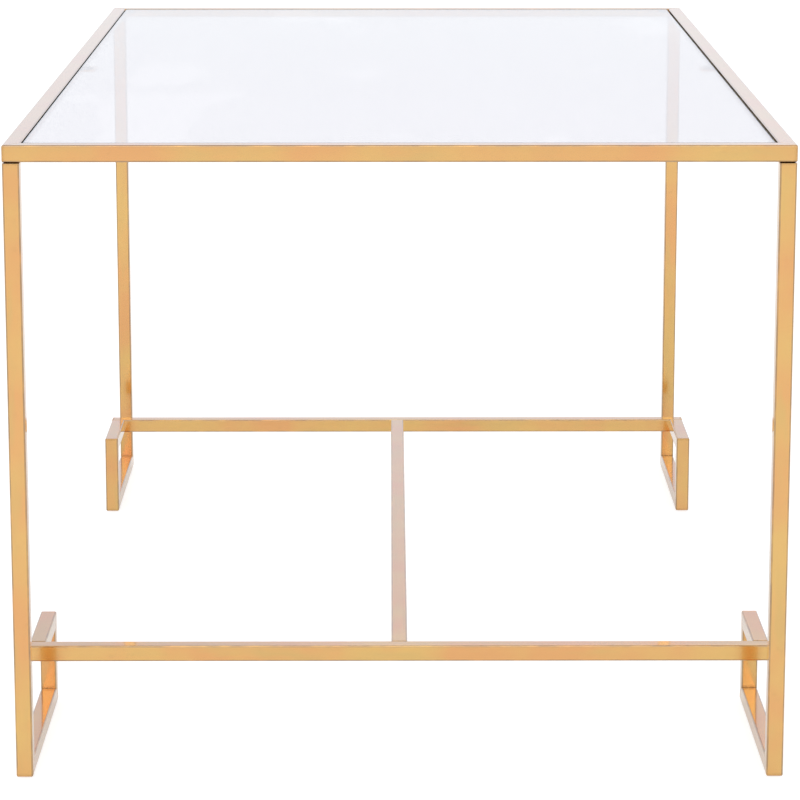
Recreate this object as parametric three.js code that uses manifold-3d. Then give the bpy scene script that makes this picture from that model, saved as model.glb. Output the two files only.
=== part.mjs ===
// A desk with a glass top: a square-tube frame on two end frames with Greek-key feet.
// Millimetres, +Z up. X runs across the width, Y along the length, and the floor is Z = 0.
import * as THREE from "three";
import { mergeVertices } from "three/addons/utils/BufferGeometryUtils.js";
import Module from "manifold-3d";

const wasm = await Module();
wasm.setup();

// Overall size
const WIDTH = 914;
const LENGTH = 1524;
const HEIGHT = 762;

// Square steel tube, the same for every bar
const TUBE = 20;
const WALL = 1.5;
const OUTER_RADIUS = 2;
const CORNER_STEPS = 2;

// Gap left between two pieces that touch
const GAP = 0.3;

// Base
const BASE_BOTTOM = 2; // the steel stands this far off the floor, on its glides
const FOOT_LENGTH = 296; // from the leg's outer face to the inner post's far face
const STRETCHER_TOP = 118; // also the top of the post, the return and the centre bar
const STRETCHER_INSET = 148; // from the leg's outer face to the stretcher's outer face
const CAP_THICKNESS = 1.5;

// Glass and what carries it
const GLASS_THICKNESS = 8;
const GLASS_CLEARANCE = 2;
const GLASS_RECESS = 0.5; // the glass lies this far below the rails' tops
const GLASS_SHIFT = -0.75; // it rests a little towards the left rail
const GLASS_CORNER_RADIUS = 3;
const PAD_RADIUS = 5;
const PAD_HEIGHT = 2;
const TAB_THICKNESS = 3;
const GUSSET_LEG = 34;
const GUSSET_PAD = 11; // from each rail to the pad's centre
const SIDE_TAB_LENGTH = 40;
const SIDE_TAB_WIDTH = 20;
const TAB_CORNER_RADIUS = 4;

// Leg plate, its screw and the rivet nut that the screw goes into
const PLATE_LENGTH = 48;
const PLATE_WIDTH = 18;
const PLATE_THICKNESS = 3;
const PLATE_HOLE_RADIUS = 3.3;
const SCREW_FROM_LEG = 28; // from the leg's inner face to the screw's axis
const SCREW_RADIUS = 3;
const SCREW_LENGTH = 16; // under the head
const SCREW_HEAD_RADIUS = 5.25;
const SCREW_HEAD_HEIGHT = 3.2;
const SOCKET_RADIUS = 2.2;
const SOCKET_DEPTH = 2;
const NUT_FLANGE_RADIUS = 6.5;
const NUT_FLANGE = 0.7;
const NUT_RADIUS = 4.5;
const NUT_HEIGHT = 13; // above the flange
const NUT_BULGE = 2; // height of the crimped bulge above the tube's wall

// Push-in floor glide
const GLIDE_RADIUS = 7.5;
const GLIDE_THICKNESS = BASE_BOTTOM - GAP;
const GLIDE_CHAMFER = 0.6;
const GLIDE_STEM_RADIUS = 3;
const GLIDE_STEM = 7;
const GLIDE_INSET = 30; // from each end of the foot rail

const ROUND_STEPS = 16;

// Levels and lengths worked out from the sizes above
const RAIL_BOTTOM = HEIGHT - TUBE;
const LEG_TOP = RAIL_BOTTOM - NUT_FLANGE - 2 * GAP;
const OPENING_WIDTH = WIDTH - 2 * TUBE;
const OPENING_LENGTH = LENGTH - 2 * TUBE;
const GLASS_BOTTOM = HEIGHT - GLASS_RECESS - GLASS_THICKNESS;
const PAD_BOTTOM = GLASS_BOTTOM - GAP - PAD_HEIGHT;
const TAB_BOTTOM = PAD_BOTTOM - GAP - TAB_THICKNESS;
const PLATE_BOTTOM = LEG_TOP - PLATE_THICKNESS;
const SCREW_Y = TUBE + GAP + SCREW_FROM_LEG;

const X_AXIS = new THREE.Vector3(1, 0, 0);
const Y_AXIS = new THREE.Vector3(0, 1, 0);
const Z_AXIS = new THREE.Vector3(0, 0, 1);

const finishes = {
  gold: { color: 0xe0b070, roughness: 0.22, metalness: 1 },
  glass: { color: 0xf2f6f6, roughness: 0.03, metalness: 0, transparent: true, opacity: 0.35 },
  pad: { color: 0xe8ecec, roughness: 0.3, metalness: 0, transparent: true, opacity: 0.7 },
  zinc: { color: 0xb8bcc0, roughness: 0.35, metalness: 1 },
  nylon: { color: 0xe6e2d8, roughness: 0.5, metalness: 0 },
};

// A closed geometry as a solid that can be joined and cut.
function solidOf(geometry) {
  const bare = geometry.index ? geometry.toNonIndexed() : geometry.clone();
  bare.deleteAttribute("normal");
  bare.deleteAttribute("uv");
  const merged = mergeVertices(bare, 1e-4);
  return new wasm.Manifold(
    new wasm.Mesh({
      numProp: 3,
      vertProperties: merged.attributes.position.array,
      triVerts: new Uint32Array(merged.index.array),
    }),
  );
}

function geometryOf(solid) {
  const mesh = solid.getMesh();
  const geometry = new THREE.BufferGeometry();
  geometry.setAttribute("position", new THREE.BufferAttribute(mesh.vertProperties, 3));
  geometry.setIndex(new THREE.BufferAttribute(mesh.triVerts, 1));
  const flat = geometry.toNonIndexed();
  flat.computeVertexNormals();
  return flat;
}

// A rectangle with rounded corners, centred on the origin.
function roundedRectangle(width, depth, radius) {
  const x = width / 2 - radius;
  const y = depth / 2 - radius;
  const outline = new THREE.Shape();
  outline.absarc(x, y, radius, 0, Math.PI / 2);
  outline.absarc(-x, y, radius, Math.PI / 2, Math.PI);
  outline.absarc(-x, -y, radius, Math.PI, 1.5 * Math.PI);
  outline.absarc(x, -y, radius, 1.5 * Math.PI, 2 * Math.PI);
  outline.closePath();
  return outline;
}

function square(size) {
  const half = size / 2;
  const corners = [
    [-half, -half],
    [half, -half],
    [half, half],
    [-half, half],
  ];
  return new THREE.Path(corners.map(([x, y]) => new THREE.Vector2(x, y)));
}

function extrude(shape, depth) {
  return new THREE.ExtrudeGeometry(shape, { depth, bevelEnabled: false, curveSegments: CORNER_STEPS });
}

// A straight tube, open at both ends, between two points on its centre line.
function tube(from, to) {
  const section = roundedRectangle(TUBE, TUBE, OUTER_RADIUS);
  section.holes.push(square(TUBE - 2 * WALL));
  const along = to.clone().sub(from);
  const geometry = extrude(section, along.length());
  geometry.applyQuaternion(new THREE.Quaternion().setFromUnitVectors(Z_AXIS, along.normalize()));
  geometry.translate(from.x, from.y, from.z);
  return solidOf(geometry);
}

// Cuts a tube's end at 45 degrees. `corner` is a point on the joint's outer edge, `outward`
// points out of the tube's end, and `turn` is the way the neighbouring tube leaves the corner.
function mitre(solid, corner, outward, turn) {
  const size = 4 * TUBE;
  const normal = outward.clone().add(turn).normalize();
  const cutter = new THREE.BoxGeometry(size, size, size);
  cutter.applyQuaternion(new THREE.Quaternion().setFromUnitVectors(X_AXIS, normal));
  const centre = corner.clone().addScaledVector(normal, (size - GAP) / 2);
  cutter.translate(centre.x, centre.y, centre.z);
  return solid.subtract(solidOf(cutter));
}

// An upright cylinder that cuts a hole.
function drill(radius, x, y, bottom, top) {
  const cutter = new THREE.CylinderGeometry(radius, radius, top - bottom, ROUND_STEPS);
  cutter.rotateX(Math.PI / 2);
  cutter.translate(x, y, (top + bottom) / 2);
  return solidOf(cutter);
}

// A turned piece about Z, from [radius, height] points that run up its outside.
function turned(points) {
  const profile = points.map(([radius, height]) => new THREE.Vector2(radius, height));
  return new THREE.LatheGeometry(profile, ROUND_STEPS).rotateX(Math.PI / 2);
}

function point(x, y, z) {
  return new THREE.Vector3(x, y, z);
}

function named(name, geometry, finish) {
  const mesh = new THREE.Mesh(geometry, new THREE.MeshStandardMaterial(finishes[finish]));
  mesh.name = name;
  return mesh;
}

// ---- Pieces of one corner, in a frame whose origin is the corner's outer edge on the floor.
// Its +X points across the desk and its +Y along it, both inwards.

function legGeometry() {
  const middle = TUBE / 2;
  const leg = tube(point(middle, middle, BASE_BOTTOM), point(middle, middle, LEG_TOP));
  return geometryOf(mitre(leg, point(0, 0, BASE_BOTTOM), Z_AXIS.clone().negate(), Y_AXIS));
}

function footRailGeometry() {
  const middle = TUBE / 2;
  const z = BASE_BOTTOM + middle;
  let rail = tube(point(middle, 0, z), point(middle, FOOT_LENGTH, z));
  rail = mitre(rail, point(0, 0, BASE_BOTTOM), Y_AXIS.clone().negate(), Z_AXIS);
  rail = mitre(rail, point(0, FOOT_LENGTH, BASE_BOTTOM), Y_AXIS, Z_AXIS);
  for (const y of [GLIDE_INSET, FOOT_LENGTH - GLIDE_INSET])
    rail = rail.subtract(drill(GLIDE_STEM_RADIUS + GAP, middle, y, 0, BASE_BOTTOM + 2 * WALL));
  return geometryOf(rail);
}

function footPostGeometry() {
  const x = TUBE / 2;
  const y = FOOT_LENGTH - TUBE / 2;
  const back = Y_AXIS.clone().negate();
  let post = tube(point(x, y, BASE_BOTTOM), point(x, y, STRETCHER_TOP));
  post = mitre(post, point(0, FOOT_LENGTH, BASE_BOTTOM), Z_AXIS.clone().negate(), back);
  post = mitre(post, point(0, FOOT_LENGTH, STRETCHER_TOP), Z_AXIS, back);
  return geometryOf(post);
}

function footReturnGeometry() {
  const x = TUBE / 2;
  const z = STRETCHER_TOP - TUBE / 2;
  const start = STRETCHER_INSET + TUBE + GAP;
  const stub = tube(point(x, start, z), point(x, FOOT_LENGTH, z));
  const corner = point(0, FOOT_LENGTH, STRETCHER_TOP);
  return geometryOf(mitre(stub, corner, Y_AXIS, Z_AXIS.clone().negate()));
}

// The plate that closes one end of a stretcher.
function stretcherCapGeometry() {
  const cap = extrude(roundedRectangle(TUBE, TUBE, OUTER_RADIUS), CAP_THICKNESS);
  cap.rotateY(Math.PI / 2);
  return cap.translate(0, STRETCHER_INSET + TUBE / 2, STRETCHER_TOP - TUBE / 2);
}

// The plate behind the leg's top, which the screw passes through.
function legPlateGeometry() {
  const outline = roundedRectangle(PLATE_WIDTH, PLATE_LENGTH, 1);
  const plate = extrude(outline, PLATE_THICKNESS);
  plate.translate(TUBE / 2, TUBE + GAP + PLATE_LENGTH / 2, PLATE_BOTTOM);
  const hole = drill(PLATE_HOLE_RADIUS, TUBE / 2, SCREW_Y, PLATE_BOTTOM - 1, LEG_TOP + 1);
  return geometryOf(solidOf(plate).subtract(hole));
}

function screwGeometry() {
  const seat = PLATE_BOTTOM - GAP;
  const bottom = seat - SCREW_HEAD_HEIGHT;
  const screw = turned([
    [0, bottom + SOCKET_DEPTH],
    [SOCKET_RADIUS, bottom + SOCKET_DEPTH],
    [SOCKET_RADIUS, bottom],
    [SCREW_HEAD_RADIUS * 0.7, bottom],
    [SCREW_HEAD_RADIUS * 0.93, bottom + SCREW_HEAD_HEIGHT * 0.35],
    [SCREW_HEAD_RADIUS, seat],
    [SCREW_RADIUS, seat],
    [SCREW_RADIUS, seat + SCREW_LENGTH - 1],
    [SCREW_RADIUS - 0.8, seat + SCREW_LENGTH],
    [0, seat + SCREW_LENGTH],
  ]);
  return screw.translate(TUBE / 2, SCREW_Y, 0);
}

function rivetNutGeometry() {
  const bore = SCREW_RADIUS + GAP;
  const flange = LEG_TOP + GAP;
  const top = flange + NUT_FLANGE;
  const bulge = RAIL_BOTTOM + WALL + GAP;
  const nut = turned([
    [bore, flange],
    [NUT_FLANGE_RADIUS, flange],
    [NUT_FLANGE_RADIUS, top],
    [NUT_RADIUS, top],
    [NUT_RADIUS, bulge],
    [NUT_FLANGE_RADIUS, bulge],
    [NUT_FLANGE_RADIUS, bulge + NUT_BULGE / 2],
    [NUT_RADIUS, bulge + NUT_BULGE],
    [NUT_RADIUS, top + NUT_HEIGHT],
    [bore, top + NUT_HEIGHT],
    [bore, flange],
  ]);
  return nut.translate(TUBE / 2, SCREW_Y, 0);
}

function glideGeometry(y) {
  const glide = turned([
    [0, 0],
    [GLIDE_RADIUS - GLIDE_CHAMFER, 0],
    [GLIDE_RADIUS, GLIDE_CHAMFER],
    [GLIDE_RADIUS, GLIDE_THICKNESS],
    [GLIDE_STEM_RADIUS, GLIDE_THICKNESS],
    [GLIDE_STEM_RADIUS, GLIDE_THICKNESS + GLIDE_STEM - 1],
    [GLIDE_STEM_RADIUS - 1, GLIDE_THICKNESS + GLIDE_STEM],
    [0, GLIDE_THICKNESS + GLIDE_STEM],
  ]);
  return glide.translate(TUBE / 2, y, 0);
}

// The gusset in the frame's corner that the glass rests over.
function gussetGeometry() {
  const shape = new THREE.Shape();
  shape.moveTo(0, 0);
  shape.lineTo(GUSSET_LEG, 0);
  shape.lineTo(GUSSET_LEG, TAB_THICKNESS);
  shape.lineTo(TAB_THICKNESS, GUSSET_LEG);
  shape.lineTo(0, GUSSET_LEG);
  shape.closePath();
  return extrude(shape, TAB_THICKNESS).translate(TUBE + GAP, TUBE + GAP, TAB_BOTTOM);
}

function padGeometry(x, y) {
  const pad = turned([
    [0, 0],
    [PAD_RADIUS, 0],
    [PAD_RADIUS, PAD_HEIGHT * 0.5],
    [PAD_RADIUS * 0.85, PAD_HEIGHT * 0.85],
    [PAD_RADIUS * 0.5, PAD_HEIGHT],
    [0, PAD_HEIGHT],
  ]);
  return pad.translate(x, y, PAD_BOTTOM);
}

const gussetPad = TUBE + GAP + GUSSET_PAD;
const cornerPieces = [
  ["leg", legGeometry(), "gold"],
  ["foot_rail", footRailGeometry(), "gold"],
  ["foot_post", footPostGeometry(), "gold"],
  ["foot_return", footReturnGeometry(), "gold"],
  ["stretcher_cap", stretcherCapGeometry(), "gold"],
  ["leg_plate", legPlateGeometry(), "gold"],
  ["screw", screwGeometry(), "zinc"],
  ["rivet_nut", rivetNutGeometry(), "zinc"],
  ["glide_outer", glideGeometry(GLIDE_INSET), "nylon"],
  ["glide_inner", glideGeometry(FOOT_LENGTH - GLIDE_INSET), "nylon"],
  ["glass_gusset", gussetGeometry(), "gold"],
  ["gusset_pad", padGeometry(gussetPad, gussetPad), "pad"],
];

function corner(side, alongX, alongY) {
  const group = new THREE.Group();
  for (const [piece, geometry, finish] of cornerPieces)
    group.add(named(`${piece}_${side}`, geometry, finish));
  group.position.set((alongX * WIDTH) / 2, (alongY * LENGTH) / 2, 0);
  group.scale.set(-alongX, -alongY, 1);
  return group;
}

// ---- Top frame, in the desk's own frame.

function endRailGeometry(end) {
  const y = end * (LENGTH / 2 - TUBE / 2);
  const z = HEIGHT - TUBE / 2;
  const inward = Y_AXIS.clone().multiplyScalar(-end);
  let rail = tube(point(-WIDTH / 2, y, z), point(WIDTH / 2, y, z));
  for (const side of [-1, 1]) {
    const edge = point((side * WIDTH) / 2, (end * LENGTH) / 2, z);
    rail = mitre(rail, edge, X_AXIS.clone().multiplyScalar(side), inward);
  }
  return geometryOf(rail);
}

function sideRailGeometry(side) {
  const x = side * (WIDTH / 2 - TUBE / 2);
  const z = HEIGHT - TUBE / 2;
  const inward = X_AXIS.clone().multiplyScalar(-side);
  let rail = tube(point(x, -LENGTH / 2, z), point(x, LENGTH / 2, z));
  for (const end of [-1, 1]) {
    const edge = point((side * WIDTH) / 2, (end * LENGTH) / 2, z);
    rail = mitre(rail, edge, Y_AXIS.clone().multiplyScalar(end), inward);
    const screwAt = end * (LENGTH / 2 - SCREW_Y);
    const hole = drill(NUT_RADIUS + GAP, x, screwAt, RAIL_BOTTOM - 1, RAIL_BOTTOM + 2 * WALL);
    rail = rail.subtract(hole);
  }
  return geometryOf(rail);
}

function glassGeometry() {
  const width = OPENING_WIDTH - 2 * GLASS_CLEARANCE;
  const length = OPENING_LENGTH - 2 * GLASS_CLEARANCE;
  const outline = roundedRectangle(width, length, GLASS_CORNER_RADIUS);
  return extrude(outline, GLASS_THICKNESS).translate(GLASS_SHIFT, 0, GLASS_BOTTOM);
}

function sideTabGeometry(side) {
  const radius = TAB_CORNER_RADIUS;
  const outer = SIDE_TAB_WIDTH;
  const half = SIDE_TAB_LENGTH / 2;
  const shape = new THREE.Shape();
  shape.moveTo(0, -half);
  shape.lineTo(outer - radius, -half);
  shape.absarc(outer - radius, radius - half, radius, -Math.PI / 2, 0);
  shape.absarc(outer - radius, half - radius, radius, 0, Math.PI / 2);
  shape.lineTo(0, half);
  shape.closePath();
  const tab = extrude(shape, TAB_THICKNESS);
  if (side > 0) tab.rotateZ(Math.PI);
  return tab.translate(side * (OPENING_WIDTH / 2 - GAP), 0, TAB_BOTTOM);
}

function sidePadGeometry(side) {
  return padGeometry(side * (OPENING_WIDTH / 2 - GAP - SIDE_TAB_WIDTH / 2), 0);
}

function topFrame() {
  const group = new THREE.Group();
  group.add(named("top_rail_front", endRailGeometry(-1), "gold"));
  group.add(named("top_rail_back", endRailGeometry(1), "gold"));
  for (const [name, side] of [
    ["left", -1],
    ["right", 1],
  ]) {
    group.add(named(`top_rail_${name}`, sideRailGeometry(side), "gold"));
    group.add(named(`glass_tab_${name}`, sideTabGeometry(side), "gold"));
    group.add(named(`tab_pad_${name}`, sidePadGeometry(side), "pad"));
  }
  return group;
}

// ---- Stretchers and the bar between them.

function stretcherGeometry(end) {
  const y = end * (LENGTH / 2 - STRETCHER_INSET - TUBE / 2);
  const z = STRETCHER_TOP - TUBE / 2;
  const reach = WIDTH / 2 - CAP_THICKNESS - GAP;
  return geometryOf(tube(point(-reach, y, z), point(reach, y, z)));
}

function centreBarGeometry() {
  const z = STRETCHER_TOP - TUBE / 2;
  const reach = LENGTH / 2 - STRETCHER_INSET - TUBE - GAP;
  return geometryOf(tube(point(0, -reach, z), point(0, reach, z)));
}

function stretchers() {
  const group = new THREE.Group();
  group.add(named("stretcher_front", stretcherGeometry(-1), "gold"));
  group.add(named("stretcher_back", stretcherGeometry(1), "gold"));
  group.add(named("centre_bar", centreBarGeometry(), "gold"));
  return group;
}

const desk = new THREE.Group();
desk.add(topFrame());
desk.add(named("glass_top", glassGeometry(), "glass"));
desk.add(stretchers());
desk.add(corner("front_left", -1, -1));
desk.add(corner("front_right", 1, -1));
desk.add(corner("back_left", -1, 1));
desk.add(corner("back_right", 1, 1));

export default desk;
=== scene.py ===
"""Dresses a desk: a gold square-tube frame with Greek-key feet, a loose glass pane and its fixings."""
import logging
import math
from collections.abc import Iterable, Sequence
from dataclasses import dataclass, field
from enum import Enum
from typing import Any

import bmesh
import bpy
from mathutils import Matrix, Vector


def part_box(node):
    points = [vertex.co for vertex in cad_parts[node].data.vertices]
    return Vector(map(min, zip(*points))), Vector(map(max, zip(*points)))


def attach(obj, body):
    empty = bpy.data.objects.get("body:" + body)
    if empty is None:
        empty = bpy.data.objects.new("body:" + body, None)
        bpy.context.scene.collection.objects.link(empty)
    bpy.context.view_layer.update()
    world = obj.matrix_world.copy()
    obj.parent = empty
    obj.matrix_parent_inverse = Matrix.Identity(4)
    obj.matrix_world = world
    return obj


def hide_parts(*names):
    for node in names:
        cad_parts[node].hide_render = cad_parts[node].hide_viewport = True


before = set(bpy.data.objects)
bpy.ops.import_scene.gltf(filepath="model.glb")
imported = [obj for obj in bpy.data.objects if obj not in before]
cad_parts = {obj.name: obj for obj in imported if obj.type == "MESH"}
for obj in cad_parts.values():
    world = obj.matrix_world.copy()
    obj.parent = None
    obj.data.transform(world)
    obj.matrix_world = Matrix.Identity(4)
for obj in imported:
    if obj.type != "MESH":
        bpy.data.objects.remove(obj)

log = logging.getLogger("desk")

MM = 0.001
FRAME_BODY = "frame"
GLASS_BODY = "glass"
ENDS = ("front", "back")
SIDES = ("left", "right")
CORNERS = tuple(f"{end}_{side}" for end in ENDS for side in SIDES)
FLAT_ENOUGH = 0.99  # cosine within which a face counts as facing an axis
NEAR = 1e-6  # metres within which a point counts as on a plane
MERGE = 1e-7  # metres within which two points are one

Colour = tuple[float, float, float, float]


class Slot(Enum):
    """The record's material slots."""

    GOLD = "gold_frame"
    GLASS = "clear_glass"
    PAD = "clear_pad"
    ZINC = "zinc_fastener"
    NYLON = "nylon_glide"


class Axis(Enum):
    """The way a tube runs."""

    X = 0
    Y = 1
    Z = 2

    @property
    def vector(self) -> Vector:
        """The axis as a unit vector."""
        return Vector([float(i == self.value) for i in range(3)])


class Turn(Enum):
    """The way the neighbouring tube leaves a mitred corner."""

    LEFT = (-1.0, 0.0, 0.0)
    RIGHT = (1.0, 0.0, 0.0)
    FRONT = (0.0, -1.0, 0.0)
    BACK = (0.0, 1.0, 0.0)
    DOWN = (0.0, 0.0, -1.0)
    UP = (0.0, 0.0, 1.0)

    @property
    def vector(self) -> Vector:
        """The direction as a unit vector."""
        return Vector(self.value)


# ---------------------------------------------------------------- shader tools


class Value:
    """A number socket on which Python's operators add Math nodes."""

    def __init__(self, shader: "Shader", socket: bpy.types.NodeSocket) -> None:
        """Wraps a socket of a shader's node tree.

        Args:
            shader: The shader that new nodes are added to.
            socket: The output that carries the number.
        """
        self.shader = shader
        self.socket = socket

    def _math(self, operation: str, *terms: "Value | float") -> "Value":
        """Adds one Math node.

        Args:
            operation: The Math node's operation.
            terms: Its inputs in order.

        Returns:
            The node's result.
        """
        inputs = dict(enumerate(terms))
        made = self.shader.node("ShaderNodeMath", {"operation": operation}, inputs)
        return Value(self.shader, made.outputs[0])

    def __add__(self, other: "Value | float") -> "Value":
        """Sum."""
        return self._math("ADD", self, other)

    def __sub__(self, other: "Value | float") -> "Value":
        """Difference."""
        return self._math("SUBTRACT", self, other)

    def __rsub__(self, other: float) -> "Value":
        """Difference from a number on the left."""
        return self._math("SUBTRACT", other, self)

    def __mul__(self, other: "Value | float") -> "Value":
        """Product."""
        return self._math("MULTIPLY", self, other)

    def __pow__(self, other: float) -> "Value":
        """Power."""
        return self._math("POWER", self, other)

    __radd__ = __add__
    __rmul__ = __mul__

    def clamped(self) -> "Value":
        """The value held between 0 and 1."""
        return self._math("MINIMUM", self._math("MAXIMUM", self, 0.0), 1.0)


class Shader:
    """A material's node tree, with one method that adds any node."""

    def __init__(self, owner: bpy.types.Material | bpy.types.World) -> None:
        """Empties the owner's node tree, ready for new nodes.

        Args:
            owner: The material or the world that the nodes belong to.
        """
        self.owner = owner
        self.owner.use_nodes = True
        self.tree = self.owner.node_tree
        self.tree.nodes.clear()

    @classmethod
    def of_material(cls, name: str) -> "Shader":
        """Starts a new material."""
        return cls(bpy.data.materials.new(name))

    def node(
        self, kind: str, settings: dict[str, Any] | None = None, inputs: dict[Any, Any] | None = None
    ) -> bpy.types.Node:
        """Adds a node.

        Args:
            kind: The node's type name.
            settings: Properties, which are set before the sockets.
            inputs: Values, sockets or Values by the input's name or number.

        Returns:
            The new node.
        """
        made = self.tree.nodes.new(kind)
        for key, value in (settings or {}).items():
            if key == "stops":
                self._set_ramp(made.color_ramp, value)
            else:
                setattr(made, key, value)
        for key, value in (inputs or {}).items():
            source = value.socket if isinstance(value, Value) else value
            if isinstance(source, bpy.types.NodeSocket):
                self.tree.links.new(source, made.inputs[key])
            else:
                made.inputs[key].default_value = source
        return made

    @staticmethod
    def _set_ramp(ramp: bpy.types.ColorRamp, stops: Sequence[tuple[float, Any]]) -> None:
        """Sets a ramp's stops from (place, colour) pairs.

        Args:
            ramp: The ramp to set.
            stops: Two or more stops in order.
        """
        while len(ramp.elements) < len(stops):
            ramp.elements.new(1.0)
        for element, (place, tone) in zip(ramp.elements, stops):
            element.position = place
            element.color = tone

    def object_point(self, scale: Sequence[float] = (1.0, 1.0, 1.0)) -> bpy.types.NodeSocket:
        """The shaded point in object coordinates.

        Args:
            scale: How much the pattern is stretched along each axis.

        Returns:
            The scaled point.
        """
        coordinates = self.node("ShaderNodeTexCoord")
        mapped = self.node(
            "ShaderNodeMapping", inputs={"Vector": coordinates.outputs["Object"], "Scale": tuple(scale)}
        )
        return mapped.outputs["Vector"]

    def noise(
        self, scale: float, detail: float = 2.0, stretch: Sequence[float] = (1.0, 1.0, 1.0)
    ) -> Value:
        """Soft noise from 0 to 1 in object coordinates.

        Args:
            scale: Features per metre.
            detail: Octaves of finer noise.
            stretch: The pattern's scale along each axis.

        Returns:
            The noise.
        """
        made = self.node(
            "ShaderNodeTexNoise",
            inputs={"Vector": self.object_point(stretch), "Scale": scale, "Detail": detail},
        )
        return Value(self, made.outputs["Fac"])

    def ramp(self, value: Value, low: float, high: float) -> Value:
        """A value that rises from 0 at `low` to 1 at `high`.

        Args:
            value: The value to spread.
            low: Where the result is 0.
            high: Where the result is 1.

        Returns:
            The spread value.
        """
        stops = [(low, grey(0.0)), (high, grey(1.0))]
        made = self.node("ShaderNodeValToRGB", {"stops": stops}, {"Fac": value})
        return Value(self, made.outputs["Color"])

    def pattern(self, pattern: "Pattern", stretch: Sequence[float] = (1.0, 1.0, 1.0)) -> Value:
        """Noise spread between two levels.

        Args:
            pattern: The noise and its levels.
            stretch: The pattern's scale along each axis.

        Returns:
            The spread noise.
        """
        return self.ramp(self.noise(pattern.scale, pattern.detail, stretch), pattern.low, pattern.high)

    def attribute(self, name: str) -> Value:
        """A number stored on the piece's own mesh.

        Args:
            name: The attribute's name.

        Returns:
            The stored number.
        """
        made = self.node("ShaderNodeAttribute", {"attribute_name": name})
        return Value(self, made.outputs["Fac"])

    def mix(self, factor: Value, first: Any, second: Any) -> bpy.types.NodeSocket:
        """Mixes two colours.

        Args:
            factor: 0 for the first colour, 1 for the second.
            first: A colour or a colour socket.
            second: A colour or a colour socket.

        Returns:
            The mixed colour.
        """
        made = self.node("ShaderNodeMix", {"data_type": "RGBA"}, {0: factor, 6: first, 7: second})
        return made.outputs[2]

    def seen(self) -> Value:
        """Tells what the eye sees, straight or through glass, from what is mirrored or lit.

        Returns:
            1 for a ray from the eye, 0 for any other.
        """
        rays = self.node("ShaderNodeLightPath").outputs
        return (Value(self, rays["Is Camera Ray"]) + Value(self, rays["Is Transmission Ray"])).clamped()

    def bump(self, height: Value, distance: float, strength: float = 1.0) -> bpy.types.NodeSocket:
        """A surface normal from a height.

        Args:
            height: The height, from 0 to 1.
            distance: What a height of 1 stands for, in metres.
            strength: How much of it shows.

        Returns:
            The normal.
        """
        inputs = {"Strength": strength, "Distance": distance, "Height": height}
        return self.node("ShaderNodeBump", inputs=inputs).outputs["Normal"]

    def finish(self, surface: bpy.types.NodeSocket) -> bpy.types.Material:
        """Connects a shader to the material's output.

        Args:
            surface: The shader's output.

        Returns:
            The finished material.
        """
        self.node("ShaderNodeOutputMaterial", inputs={"Surface": surface})
        return self.owner


@dataclass(frozen=True)
class Pattern:
    """Noise of one scale, and the levels that are spread to 0 and 1."""

    scale: float
    detail: float
    low: float
    high: float


def colour(red: float, green: float, blue: float) -> Colour:
    """An opaque linear colour."""
    return (red, green, blue, 1.0)


def grey(level: float) -> Colour:
    """An opaque linear grey."""
    return colour(level, level, level)


# ---------------------------------------------------------------- finishes


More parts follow.
